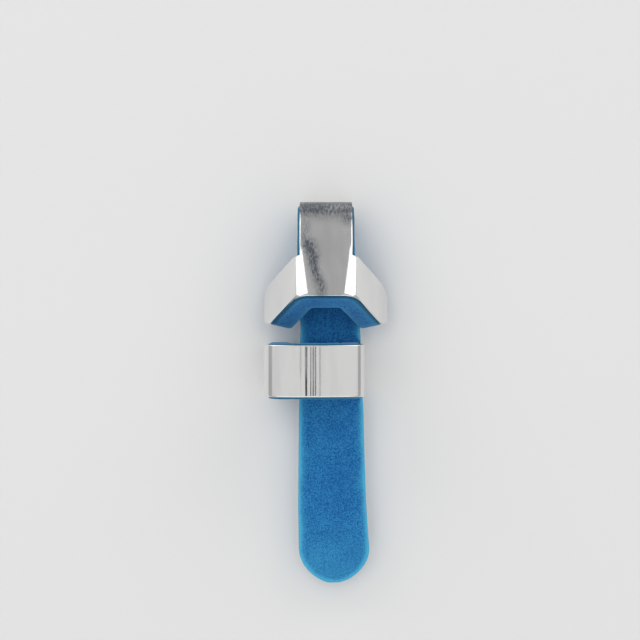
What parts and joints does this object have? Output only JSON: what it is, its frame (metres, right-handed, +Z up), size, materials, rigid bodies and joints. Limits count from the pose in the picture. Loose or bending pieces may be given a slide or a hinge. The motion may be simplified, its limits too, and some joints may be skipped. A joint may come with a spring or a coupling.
{
  "type": "finger splint",
  "caption": "Finger splint: an aluminium strip folded over a fingertip, with two flared wings and a cuff strap, lined with blue foam.",
  "frame": {"origin": "on the floor, under the middle of the splint's outline as it lies on its back", "axes": "+Y along the finger towards the fold at the fingertip, +X to the right as seen from above, +Z up"},
  "size_m": [0.03, 0.0916, 0.0238],
  "materials": {
    "aluminium": "polished sheet with fine handling marks and bright cut edges",
    "foam": "fine open-cell polyurethane foam, matt, speckled"
  },
  "bodies": {
    "root": {"aluminium_blank": "aluminium", "foam_lining": "foam"}
  },
  "joints": []
}
